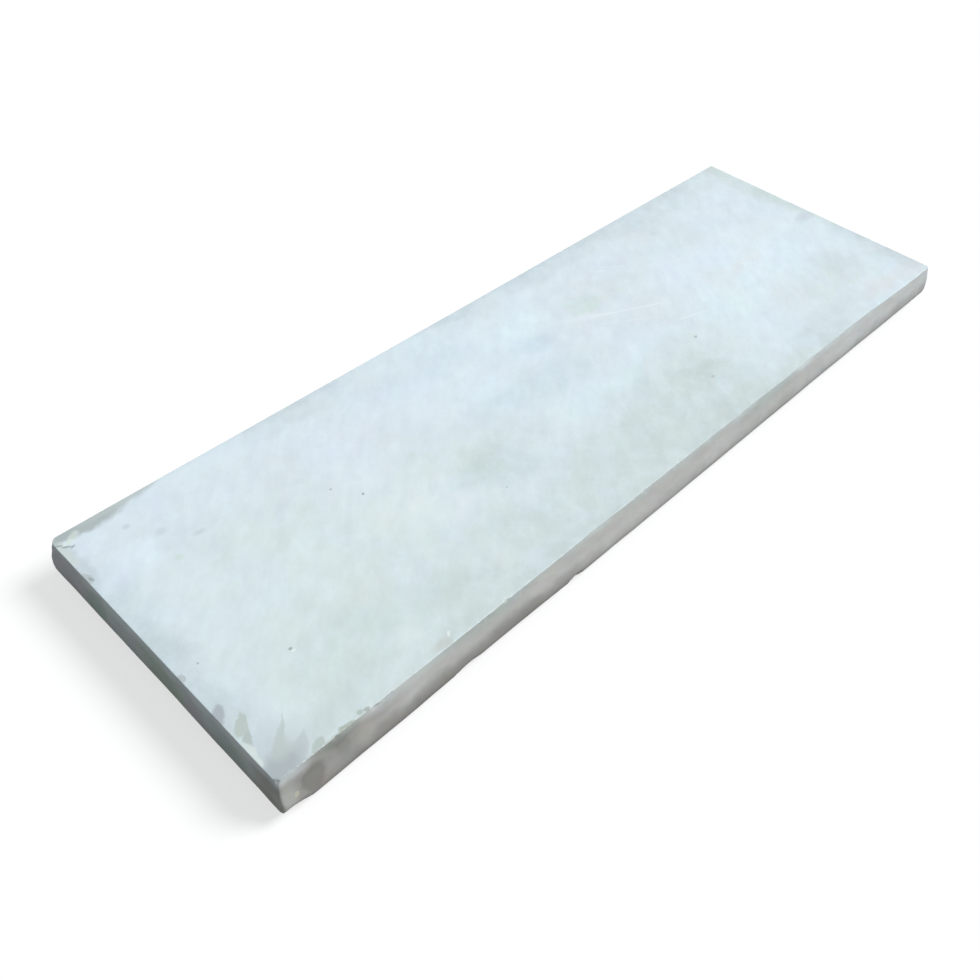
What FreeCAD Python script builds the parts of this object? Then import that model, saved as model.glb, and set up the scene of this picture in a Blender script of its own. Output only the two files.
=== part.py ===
import FreeCAD, Part
import math
import os
import Sketcher

# A cast concrete paving slab, lying on its back with the walking face up.
# Millimetres. The origin is the centre of the back, +X runs along the length,
# +Y across the width and +Z up. The slab is cast face down, so the walking face
# is crisp and the sides spread with the mould's draft towards the back. The
# arris of the open back is rolled over by hand along each side in turn, so the
# four rolls meet on mitres. It has spalled along the front, and the near left
# corner of the walking face has lost a chip.

NODE = "paving_slab"

# Driving dimensions: alias, value and what it measures.
SIZES = (
    ("slab_length", 900.0, "overall length at the girth"),
    ("slab_width", 300.0, "overall width at the girth"),
    ("slab_thickness", 50.0, "from the back to the walking face"),
    ("side_draft", 7.5, "lean of the four sides, in degrees from upright"),
    ("corner_round", 2.5, "radius of the four corners, from side to side"),
    ("back_roll", 18.0, "radius of the rolled arris round the back"),
    ("face_arris", 0.7, "radius worn on the arris of the walking face"),
    ("spall_facing", 25.0, "how far below level the spalls face, in degrees"),
    ("chip_depth", 2.4, "from the sharp corner of the walking face to the chip's floor"),
    ("chip_radius", 9.0, "radius of the chip's hollow floor"),
    ("chip_bearing", 25.0, "how far round from the left end towards the front it faces"),
    ("chip_rise", 28.0, "how far above level the chip faces, in degrees"),
)

# Spalls out of the rolled arris along the front: name, distance of the middle
# from the left end, length along the arris, height across it and depth.
FRONT_SPALLS = (
    ("CornerSpall", 5.0, 46.0, 36.0, 3.3),
    ("LongSpall", 210.0, 200.0, 19.0, 1.3),
    ("DeepSpall", 180.0, 42.0, 27.0, 2.3),
    ("StepSpall", 305.0, 20.0, 24.0, 2.4),
)

# A scoop's middle stands as far outside the surface as the scoop is deep, so its
# half depth is twice the cut and its mouth is this share of its full width.
SCOOP_HALF_DEPTHS = 2.0
SCOOP_MOUTH = math.sqrt(1.0 - 1.0 / SCOOP_HALF_DEPTHS**2)

# The sharp back outline stands this far outside the girth, because the roll
# takes the acute edge away.
OUTLINE_OVERHANG = "Sizes.back_roll * (tan(Sizes.side_draft) + 1 / cos(Sizes.side_draft) - 1)"

# The walking face is set in this far from the girth by the draft.
FACE_INSET = (
    "(Sizes.slab_thickness - Sizes.back_roll) * tan(Sizes.side_draft)"
    " - Sizes.back_roll * (1 / cos(Sizes.side_draft) - 1)"
)

TOLERANCE = 1e-3


def add_sheet(doc):
    """Put every driving dimension in one sheet, each under its own alias."""
    rows = list(SIZES)
    for name, middle, length, height, depth in FRONT_SPALLS:
        rows.append((name + "_middle", middle, "from the left end to its middle"))
        rows.append((name + "_length", length, "along the arris"))
        rows.append((name + "_height", height, "across the arris"))
        rows.append((name + "_depth", depth, "into the arris"))
    sheet = doc.addObject("Spreadsheet::Sheet", "Sizes")
    for number, (alias, value, meaning) in enumerate(rows, start=1):
        sheet.set("A%d" % number, alias)
        sheet.set("B%d" % number, str(value))
        sheet.set("C%d" % number, meaning)
        sheet.setAlias("B%d" % number, alias)
    doc.recompute()
    return sheet


def add_sketch(body, name, role):
    """Add an empty sketch on one of the body's origin planes."""
    sketch = body.newObject("Sketcher::SketchObject", name)
    for plane in body.Origin.OriginFeatures:
        if plane.Role == role:
            sketch.AttachmentSupport = [(plane, "")]
    sketch.MapMode = "FlatFace"
    return sketch


def size_constraint(sketch, name, constraint, expression):
    """Add a named constraint to a sketch and bind it to the sheet."""
    number = sketch.addConstraint(constraint)
    sketch.renameConstraint(number, name)
    sketch.setExpression("Constraints." + name, expression)


def add_back_outline(body, sheet):
    """Sketch the sharp outline of the back, a rectangle about the origin."""
    sketch = add_sketch(body, "BackOutline", "XY_Plane")
    reach_x = sheet.slab_length / 2
    reach_y = sheet.slab_width / 2
    turns = ((1, 1), (-1, 1), (-1, -1), (1, -1))
    corners = [FreeCAD.Vector(end * reach_x, side * reach_y, 0) for end, side in turns]
    sides = []
    for start, stop in zip(corners, corners[1:] + corners[:1]):
        sides.append(sketch.addGeometry(Part.LineSegment(start, stop), False))
    for line, following in zip(sides, sides[1:] + sides[:1]):
        sketch.addConstraint(Sketcher.Constraint("Coincident", line, 2, following, 1))
    back, left, front, right = sides
    for line in (back, front):
        sketch.addConstraint(Sketcher.Constraint("Horizontal", line))
    for line in (left, right):
        sketch.addConstraint(Sketcher.Constraint("Vertical", line))
    sketch.addConstraint(Sketcher.Constraint("Symmetric", back, 1, front, 1, -1, 1))
    size_constraint(
        sketch,
        "OutlineLength",
        Sketcher.Constraint("DistanceX", back, 2, back, 1, sheet.slab_length),
        "Sizes.slab_length + 2 * " + OUTLINE_OVERHANG,
    )
    size_constraint(
        sketch,
        "OutlineWidth",
        Sketcher.Constraint("DistanceY", front, 1, back, 1, sheet.slab_width),
        "Sizes.slab_width + 2 * " + OUTLINE_OVERHANG,
    )
    return sketch


def chosen(kind, items, test):
    """Name the faces or edges of a shape whose bounding box passes a test."""
    return ["%s%d" % (kind, n) for n, item in enumerate(items, start=1) if test(item.BoundBox)]


def add_casting(doc, body, sheet):
    """Raise the outline to the walking face and lean its four sides in."""
    block = body.newObject("PartDesign::Pad", "Block")
    block.Profile = add_back_outline(body, sheet)
    block.setExpression("Length", "Sizes.slab_thickness")
    doc.recompute()
    draft = body.newObject("PartDesign::Draft", "MouldDraft")
    draft.Base = (block, chosen("Face", block.Shape.Faces, lambda box: box.ZLength > TOLERANCE))
    draft.NeutralPlane = (block, chosen("Face", block.Shape.Faces, lambda box: box.ZMax < TOLERANCE))
    draft.setExpression("Angle", "Sizes.side_draft")
    doc.recompute()
    return draft


def add_round(doc, body, name, base, edges, radius):
    """Round some edges of the feature before."""
    rounding = body.newObject("PartDesign::Fillet", name)
    rounding.Base = (base, edges)
    rounding.setExpression("Radius", radius)
    doc.recompute()
    return rounding


def add_roll(doc, body, sheet, name, role, span):
    """Roll over the back arris on the two sides that bound one span.

    Each side's waste is the sliver between the sharp edge of the back and an arc
    that runs from the flat of the back to the leaning side, tangent to both.
    """
    sketch = add_sketch(body, name + "Section", role)
    radius = sheet.back_roll
    lean = math.radians(sheet.side_draft)
    reach = getattr(sheet, span) / 2 - radius
    for side, word in ((1, "Plus"), (-1, "Minus")):
        middle = FreeCAD.Vector(side * reach, radius, 0)
        foot = FreeCAD.Vector(side * reach, 0, 0)
        edge = FreeCAD.Vector(side * (reach + radius * (math.tan(lean) + 1 / math.cos(lean))), 0, 0)
        top = middle + FreeCAD.Vector(side * radius * math.cos(lean), radius * math.sin(lean), 0)
        circle = Part.Circle(middle, FreeCAD.Vector(0, 0, 1), radius)
        turn = (-math.pi / 2, lean) if side > 0 else (math.pi - lean, 3 * math.pi / 2)
        back = sketch.addGeometry(Part.LineSegment(foot, edge), False)
        flank = sketch.addGeometry(Part.LineSegment(edge, top), False)
        arc = sketch.addGeometry(Part.ArcOfCircle(circle, *turn), False)
        arc_foot, arc_top = (1, 2) if side > 0 else (2, 1)
        sketch.addConstraint(Sketcher.Constraint("Coincident", back, 2, flank, 1))
        sketch.addConstraint(Sketcher.Constraint("Tangent", back, 1, arc, arc_foot))
        sketch.addConstraint(Sketcher.Constraint("Tangent", flank, 2, arc, arc_top))
        sketch.addConstraint(Sketcher.Constraint("PointOnObject", back, 1, -1))
        sketch.addConstraint(Sketcher.Constraint("Horizontal", back))
        size_constraint(
            sketch,
            word + "Radius",
            Sketcher.Constraint("Radius", arc, radius),
            "Sizes.back_roll",
        )
        size_constraint(
            sketch,
            word + "Reach",
            Sketcher.Constraint("DistanceX", -1, 1, arc, 3, side * reach),
            "%d * (Sizes.%s / 2 - Sizes.back_roll)" % (side, span),
        )
        size_constraint(
            sketch,
            word + "Lean",
            Sketcher.Constraint("Angle", flank, math.pi / 2 + side * lean),
            "90 + %d * Sizes.side_draft" % side,
        )
    doc.recompute()
    roll = body.newObject("PartDesign::Pocket", name)
    roll.Profile = sketch
    roll.Type = "ThroughAll"
    roll.Midplane = True
    doc.recompute()
    return roll


def add_front_spall(body, name):
    """Scoop a shallow shell-shaped spall out of the rolled arris of the front."""
    spall = body.newObject("PartDesign::SubtractiveEllipsoid", name)
    size = "Sizes." + name
    spall.setExpression("Radius1", "%s_depth * %g" % (size, SCOOP_HALF_DEPTHS))
    spall.setExpression("Radius2", "%s_length / %.6f" % (size, 2 * SCOOP_MOUTH))
    spall.setExpression("Radius3", "%s_height / %.6f" % (size, 2 * SCOOP_MOUTH))
    # The scoop's short axis points out of the roll, below level, and its middle
    # stands off the round by the depth of the cut.
    spall.Placement = FreeCAD.Placement(
        FreeCAD.Vector(0, 0, 0), FreeCAD.Rotation(FreeCAD.Vector(1, 0, 0), 90)
    )
    spall.setExpression("Placement.Rotation.Angle", "90 + Sizes.spall_facing")
    reach = "(Sizes.back_roll + %s_depth)" % size
    spall.setExpression("Placement.Base.x", "%s_middle - Sizes.slab_length / 2" % size)
    spall.setExpression(
        "Placement.Base.y",
        "Sizes.back_roll - Sizes.slab_width / 2 - %s * cos(Sizes.spall_facing)" % reach,
    )
    spall.setExpression(
        "Placement.Base.z", "Sizes.back_roll - %s * sin(Sizes.spall_facing)" % reach
    )


def add_corner_chip(body):
    """Break a hollow chip out of the near left corner of the walking face."""
    chip = body.newObject("PartDesign::SubtractiveSphere", "CornerChip")
    chip.setExpression("Radius", "Sizes.chip_radius")
    # The sphere stands off the sharp corner, so that it reaches in by the depth.
    reach = "(Sizes.chip_radius - Sizes.chip_depth)"
    level = reach + " * cos(Sizes.chip_rise)"
    chip.setExpression(
        "Placement.Base.x",
        "%s - Sizes.slab_length / 2 - %s * cos(Sizes.chip_bearing)" % (FACE_INSET, level),
    )
    chip.setExpression(
        "Placement.Base.y",
        "%s - Sizes.slab_width / 2 - %s * sin(Sizes.chip_bearing)" % (FACE_INSET, level),
    )
    chip.setExpression(
        "Placement.Base.z", "Sizes.slab_thickness + %s * sin(Sizes.chip_rise)" % reach
    )


def check_cut(doc, body, name, volume):
    """Return the volume after a cut, which has to be less than before it."""
    doc.recompute()
    left = body.Shape.Volume
    if left >= volume:
        raise RuntimeError(name + " cuts nothing")
    return left


def build_slab(doc, sheet):
    """Build the slab as one body and return it."""
    body = doc.addObject("PartDesign::Body", "PavingSlab")
    body.Label = NODE
    body.Placement = FreeCAD.Placement()
    casting = add_casting(doc, body, sheet)
    upright = chosen("Edge", casting.Shape.Edges, lambda box: box.ZLength > TOLERANCE)
    add_round(doc, body, "CornerRounds", casting, upright, "Sizes.corner_round")
    add_roll(doc, body, sheet, "FrontAndBackRolls", "YZ_Plane", "slab_width")
    rolled = add_roll(doc, body, sheet, "EndRolls", "XZ_Plane", "slab_length")
    height = sheet.slab_thickness
    rim = chosen("Edge", rolled.Shape.Edges, lambda box: box.ZMin > height - TOLERANCE)
    add_round(doc, body, "FaceArris", rolled, rim, "Sizes.face_arris")
    volume = body.Shape.Volume
    for name, _, _, _, _ in FRONT_SPALLS:
        add_front_spall(body, name)
        volume = check_cut(doc, body, name, volume)
    add_corner_chip(body)
    check_cut(doc, body, "CornerChip", volume)
    return body


def check_document(doc, body):
    """Stop if an object failed to build or the slab isn't one sound solid."""
    for item in doc.Objects:
        if "Invalid" in item.State or "Error" in item.State:
            raise RuntimeError("%s failed: %s" % (item.Name, item.State))
    shape = body.Shape
    if shape.isNull() or not shape.isValid() or len(shape.Solids) != 1:
        raise RuntimeError(body.Label + " isn't one sound solid")


def main():
    """Build the slab, check it and write its solid."""
    os.makedirs("parts", exist_ok=True)
    doc = FreeCAD.newDocument("PavingSlab")
    sheet = add_sheet(doc)
    body = build_slab(doc, sheet)
    doc.recompute()
    check_document(doc, body)
    body.Shape.exportStep(os.path.join("parts", body.Label + ".step"))
    litres = body.Shape.Volume / 1e6
    print("%s: %d faces, %.3f litres" % (body.Label, len(body.Shape.Faces), litres))


main()
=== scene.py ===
"""The looks of a cast concrete paving slab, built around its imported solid."""

import logging
import math
from dataclasses import dataclass
from enum import Enum
from typing import ClassVar, Dict, Mapping, Optional, Sequence, Tuple, Union

import bpy
from mathutils import Matrix, Vector


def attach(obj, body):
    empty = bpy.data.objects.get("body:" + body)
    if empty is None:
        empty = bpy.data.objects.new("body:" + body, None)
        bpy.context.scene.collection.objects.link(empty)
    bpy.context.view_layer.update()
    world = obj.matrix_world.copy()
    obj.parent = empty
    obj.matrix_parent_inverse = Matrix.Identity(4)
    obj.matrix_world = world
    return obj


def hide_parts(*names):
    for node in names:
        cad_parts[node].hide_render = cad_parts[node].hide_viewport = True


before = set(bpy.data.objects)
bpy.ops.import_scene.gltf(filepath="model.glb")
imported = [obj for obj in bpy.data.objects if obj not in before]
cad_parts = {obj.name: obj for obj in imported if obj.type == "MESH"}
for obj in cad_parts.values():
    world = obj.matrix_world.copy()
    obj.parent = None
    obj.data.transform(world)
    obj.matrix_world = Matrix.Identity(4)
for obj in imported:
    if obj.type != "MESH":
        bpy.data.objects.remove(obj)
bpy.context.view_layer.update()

LOG = logging.getLogger("paving_slab")
MM = 0.001

Triple = Tuple[float, float, float]
Pair = Tuple[float, float]


class Wire:
    """An output socket that takes part in arithmetic, adding the nodes it needs."""

    def __init__(self, board: "Board", socket: bpy.types.NodeSocket) -> None:
        """Hold an output socket and the board that the expression adds nodes to."""
        self.board = board
        self.socket = socket

    @property
    def is_vector(self) -> bool:
        """Whether the socket carries three numbers."""
        return self.socket.type in ("VECTOR", "RGBA")

    def __add__(self, other: "Operand") -> "Wire":
        """Return self + other."""
        return self.board.combine("ADD", self, other)

    def __radd__(self, other: "Operand") -> "Wire":
        """Return other + self."""
        return self.board.combine("ADD", other, self)

    def __sub__(self, other: "Operand") -> "Wire":
        """Return self - other."""
        return self.board.combine("SUBTRACT", self, other)

    def __rsub__(self, other: "Operand") -> "Wire":
        """Return other - self."""
        return self.board.combine("SUBTRACT", other, self)

    def __mul__(self, other: "Operand") -> "Wire":
        """Return self * other."""
        return self.board.combine("MULTIPLY", self, other)

    def __truediv__(self, other: "Operand") -> "Wire":
        """Return self / other."""
        return self.board.combine("DIVIDE", self, other)

    def __pow__(self, other: "Operand") -> "Wire":
        """Return self to the power of other."""
        return self.board.combine("POWER", self, other)

    def __gt__(self, other: "Operand") -> "Wire":
        """Return 1 where self is more than other, else 0."""
        return self.board.math("GREATER_THAN", self, other)

    def part(self, axis: int) -> "Wire":
        """Return one of the three numbers, 0 for X, 1 for Y and 2 for Z."""
        return self.board.node("ShaderNodeSeparateXYZ", {}, {0: self}).output(axis)

    def low(self, other: "Operand") -> "Wire":
        """Return the smaller of self and other."""
        return self.board.math("MINIMUM", self, other)

    def high(self, other: "Operand") -> "Wire":
        """Return the larger of self and other."""
        return self.board.math("MAXIMUM", self, other)

    def clamp(self) -> "Wire":
        """Return self held between 0 and 1."""
        return self.board.math("ADD", self, 0.0, clamp=True)

    def ramp(
        self, start: "Operand", end: "Operand", top: float = 1.0, smooth: bool = True
    ) -> "Wire":
        """Return 0 up to start, a top value from end, and a rise between them.

        Args:
            start: Where the rise starts. It may lie above end.
            end: Where the rise ends.
            top: The value from end on.
            smooth: Whether the rise eases in and out.

        Returns:
            The rise, between 0 and top.
        """
        kind = "SMOOTHSTEP" if smooth else "LINEAR"
        settings = {"interpolation_type": kind, "clamp": True}
        inputs = {0: self, 1: start, 2: end, 4: top}
        return self.board.node("ShaderNodeMapRange", settings, inputs).output(0)


Operand = Union[Wire, float, int, Vector, Triple]


@dataclass(frozen=True)
class Placed:
    """A node that has been put on a board."""

    board: "Board"
    node: bpy.types.Node

    def output(self, key: Union[int, str] = 0) -> Wire:
        """Return one of the node's outputs."""
        return Wire(self.board, self.node.outputs[key])


class Board:
    """A node tree that expressions are written on."""

    def __init__(self, tree: bpy.types.NodeTree) -> None:
        """Empty the shader or geometry tree that is to be filled."""
        self.tree = tree
        self.tree.nodes.clear()

    def node(
        self,
        kind: str,
        settings: Optional[Mapping[str, object]] = None,
        inputs: Optional[Mapping[Union[int, str], object]] = None,
    ) -> Placed:
        """Add a node of any kind.

        Args:
            kind: The node's type.
            settings: Its own settings, which are set first.
            inputs: What each input socket holds or is linked to.

        Returns:
            The node, ready to give its outputs.
        """
        node = self.tree.nodes.new(kind)
        for name, value in (settings or {}).items():
            setattr(node, name, value)
        for key, value in (inputs or {}).items():
            if isinstance(value, Wire):
                self.tree.links.new(value.socket, node.inputs[key])
            else:
                node.inputs[key].default_value = value
        return Placed(self, node)

    def math(self, operation: str, *values: Operand, clamp: bool = False) -> Wire:
        """Add a Math node and return its result, held between 0 and 1 if asked."""
        settings = {"operation": operation, "use_clamp": clamp}
        return self.node("ShaderNodeMath", settings, dict(enumerate(values))).output()

    def vector(self, operation: str, *values: Operand) -> Wire:
        """Add a Vector Math node.

        Args:
            operation: The node's operation.
            *values: Its inputs.

        Returns:
            The result, a number where it is a dot product.
        """
        settings = {"operation": operation}
        answer = 1 if operation == "DOT_PRODUCT" else 0
        return self.node("ShaderNodeVectorMath", settings, dict(enumerate(values))).output(answer)

    def combine(self, operation: str, first: Operand, second: Operand) -> Wire:
        """Join two values with Math, or with Vector Math where one is a vector.

        Args:
            operation: The node's operation.
            first: The value before the sign.
            second: The value after it.

        Returns:
            The result.
        """
        for value in (first, second):
            if isinstance(value, (tuple, Vector)) or isinstance(value, Wire) and value.is_vector:
                return self.vector(operation, self.spread(first), self.spread(second))
        return self.math(operation, first, second)

    def spread(self, value: Operand) -> Operand:
        """Make a vector of a value that isn't one.

        Args:
            value: A number or a vector.

        Returns:
            A number as three equal ones, and a vector as it is.
        """
        if isinstance(value, (int, float)):
            return (value, value, value)
        if isinstance(value, Wire) and not value.is_vector:
            return self.triple(value, value, value)
        return value

    def triple(self, x: Operand, y: Operand, z: Operand) -> Wire:
        """Return the vector of three values."""
        return self.node("ShaderNodeCombineXYZ", {}, {0: x, 1: y, 2: z}).output()

    def blend(self, share: Operand, first: Operand, second: Operand) -> Wire:
        """Mix two colours.

        Args:
            share: 0 for the first colour and 1 for the second.
            first: A colour wire or a red, green and blue triple.
            second: The same.

        Returns:
            The mixed colour.
        """
        below, above = (c if isinstance(c, Wire) else (*c, 1.0) for c in (first, second))
        settings = {"data_type": "RGBA", "clamp_factor": True}
        return self.node("ShaderNodeMix", settings, {0: share, 6: below, 7: above}).output(2)

    def noise(
        self,
        place: Operand,
        grain: float,
        detail: float = 2.0,
        roughness: float = 0.5,
        seed: float = 0.0,
        distortion: float = 0.0,
    ) -> Wire:
        """Add cloudy noise.

        Args:
            place: The position, in metres.
            grain: The size of a cloud, in metres.
            detail: How many finer layers it has.
            roughness: How strong the finer layers are.
            seed: Which of the many like patterns it is.
            distortion: How far the clouds are drawn out.

        Returns:
            The noise, between 0 and 1 and mostly near a half.
        """
        settings = {"noise_dimensions": "4D"}
        inputs = {
            "Vector": place,
            "W": seed,
            "Scale": 1.0 / grain,
            "Detail": detail,
            "Roughness": roughness,
            "Distortion": distortion,
        }
        return self.node("ShaderNodeTexNoise", settings, inputs).output(0)

    def turned(
        self, place: Operand, middle: Triple, turn: Triple, reach: Triple, label: str = ""
    ) -> Wire:
        """Return a place as seen from a frame that is moved, turned and scaled.

        Args:
            place: The position, in metres.
            middle: The frame's origin, in metres.
            turn: The frame's rotation, in radians.
            reach: What counts as one along each of the frame's axes.
            label: What the frame is for, shown on its node.

        Returns:
            The position in that frame.
        """
        settings = {"vector_type": "TEXTURE", "label": label}
        inputs = {"Vector": place, "Location": middle, "Rotation": turn, "Scale": reach}
        return self.node("ShaderNodeMapping", settings, inputs).output()

    def nearness(self, place: Operand) -> Wire:
        """Return 1 at the origin, falling evenly to 0 at a distance of one."""
        settings = {"gradient_type": "SPHERICAL"}
        return self.node("ShaderNodeTexGradient", settings, {"Vector": place}).output(1)

    def drift(self, place: Operand, grain: float, reach: float, seed: float = 0.0) -> Wire:
        """Return a place that cloudy noise has moved.

        Args:
            place: The position, in metres.
            grain: The size of a cloud, in metres.
            reach: How far apart two moved points can end up, in metres.
            seed: Which of the many like patterns it is.

        Returns:
            The moved position.
        """
        settings = {"noise_dimensions": "4D"}
        inputs = {"Vector": place, "W": seed, "Scale": 1.0 / grain, "Detail": 2.0}
        cloud = self.node("ShaderNodeTexNoise", settings, inputs).output(1)
        return place + (cloud - 0.5) * reach


def linear(code: str) -> Triple:
    """Return the linear colour of a screen colour written as six hex digits."""
    parts = (int(code[i : i + 2], 16) / 255.0 for i in (0, 2, 4))
    return tuple(c / 12.92 if c <= 0.04045 else ((c + 0.055) / 1.055) ** 2.4 for c in parts)


@dataclass(frozen=True)
class SlabSizes:
    """The sizes that the slab's section and its spalls share, in metres."""

    length: float = 900 * MM
    width: float = 300 * MM
    thickness: float = 50 * MM
    draft: float = math.radians(7.5)
    corner_round: float = 2.5 * MM
    back_roll: float = 18 * MM
    face_arris: float = 0.7 * MM
    spall_facing: float = math.radians(25)
    chip_bearing: float = math.radians(25)
    chip_rise: float = math.radians(28)

    @property
    def face_inset(self) -> float:
        """How far the draft sets the walking face in from the girth."""
        lift = self.thickness - self.back_roll
        return lift * math.tan(self.draft) - self.back_roll * (1.0 / math.cos(self.draft) - 1.0)


@dataclass(frozen=True)
class Scoop:
    """A shallow bite out of the slab, the dent of an ellipsoid that stands off it."""

    # A spall's ellipsoid stands as far off the surface as the spall is deep, so
    # its half depth is this many cuts and its mouth is that share of its width.
    HALF_DEPTHS: ClassVar[float] = 2.0
    MOUTH: ClassVar[float] = math.sqrt(1.0 - 1.0 / HALF_DEPTHS**2)

    name: str
    middle: Triple
    facing: Triple
    along: Triple
    reach: Triple

    @classmethod
    def in_front_roll(
        cls, name: str, size: SlabSizes, station: float, length: float, height: float, depth: float
    ) -> "Scoop":
        """Seat a spall on the rolled arris of the front.

        Args:
            name: What the spall is called.
            size: The slab's sizes.
            station: Where its middle is along X.
            length: Its length along the arris.
            height: Its height across the arris.
            depth: Its depth into the roll.

        Returns:
            The spall.
        """
        out = Vector((0.0, -math.cos(size.spall_facing), -math.sin(size.spall_facing)))
        core = Vector((station, size.back_roll - size.width / 2, size.back_roll))
        mouth = 2.0 * cls.MOUTH
        reach = (length / mouth, height / mouth, cls.HALF_DEPTHS * depth)
        middle = core + out * (size.back_roll + depth)
        return cls(name, tuple(middle), tuple(out), (1.0, 0.0, 0.0), reach)

    @classmethod
    def at_near_corner(cls, name: str, size: SlabSizes, depth: float, radius: float) -> "Scoop":
        """Seat a chip on the near left corner of the walking face.

        Args:
            name: What the chip is called.
            size: The slab's sizes.
            depth: How far its floor lies from the sharp corner.
            radius: The radius of its hollow floor.

        Returns:
            The chip.
        """
        bearing, rise = size.chip_bearing, size.chip_rise
        out = Vector((-math.cos(bearing), -math.sin(bearing), math.tan(rise))).normalized()
        inset = size.face_inset
        corner = Vector((inset - size.length / 2, inset - size.width / 2, size.thickness))
        middle = corner + out * (radius - depth)
        along = Vector((math.sin(bearing), -math.cos(bearing), 0.0))
        return cls(name, tuple(middle), tuple(out), tuple(along), (radius, radius, radius))

    def cut(self, board: Board, place: Wire) -> Wire:
        """Push a point that lies in the scoop down to its floor.

        Args:
            board: The geometry tree.
            place: The point.

        Returns:
            The point, moved only if it lies in the scoop.
        """
        out, along = Vector(self.facing).normalized(), Vector(self.along).normalized()
        offset = place - Vector(self.middle)
        depth = board.vector("DOT_PRODUCT", offset, out)
        run = board.vector("DOT_PRODUCT", offset, along) / self.reach[0]
        rise = board.vector("DOT_PRODUCT", offset, out.cross(along)) / self.reach[1]
        left = (1.0 - run * run - rise * rise).high(0.0)
        sunk = (depth + left**0.5 * self.reach[2]).high(0.0) * (left > 0.0)
        return place - board.spread(sunk) * out


@dataclass(frozen=True)
class CornerWear:
    """An upright corner that is worn rounder at its crown and at its foot."""

    name: str
    side: Pair
    crown_radius: float
    waist_radius: float
    foot_radius: float
    crown_span: Pair = (41 * MM, 50 * MM)
    foot_span: Pair = (30 * MM, 6 * MM)

    def offset(self, board: Board, place: Wire, size: SlabSizes) -> Wire:
        """Return how far the wear draws each point in.

        Args:
            board: The geometry tree.
            place: The points.
            size: The slab's sizes.

        Returns:
            The offset of each point, zero away from the corner.
        """
        x, y, z = place.part(0) * self.side[0], place.part(1) * self.side[1], place.part(2)
        under = (size.back_roll - z).high(0.0)
        inset = size.back_roll - (size.back_roll**2 - under * under) ** 0.5
        inset = inset + (z - size.back_roll).high(0.0) * math.tan(size.draft)
        worn = z.ramp(*self.foot_span, top=self.foot_radius - self.waist_radius) + self.waist_radius
        worn = worn + z.ramp(*self.crown_span, top=self.crown_radius - self.waist_radius)
        run = (x - (size.length / 2 - inset - worn)).high(0.0)
        rise = (y - (size.width / 2 - inset - worn)).high(0.0)
        reach = (run * run + rise * rise) ** 0.5
        pull = (reach - worn).high(0.0) / reach.high(0.01 * MM)
        return board.triple(run * pull * -self.side[0], rise * pull * -self.side[1], 0.0)


@dataclass(frozen=True)
class Strays:
    """How far stretches of the sides stand in or out from the mould's even draft."""

    end_foot_in: float = 1.0 * MM
    end_lean_out: float = 1.7 * MM
    front_in: float = 0.2 * MM
    front_left_in: float = 0.4 * MM
    near_right_out: float = 3.4 * MM
    right_foot_out: float = 5.8 * MM
    right_lean_in: float = 5.2 * MM
    far_left_out: float = 0.6 * MM
    far_right_out: float = 1.0 * MM
    corner_bulge: float = 1.0 * MM


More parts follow.
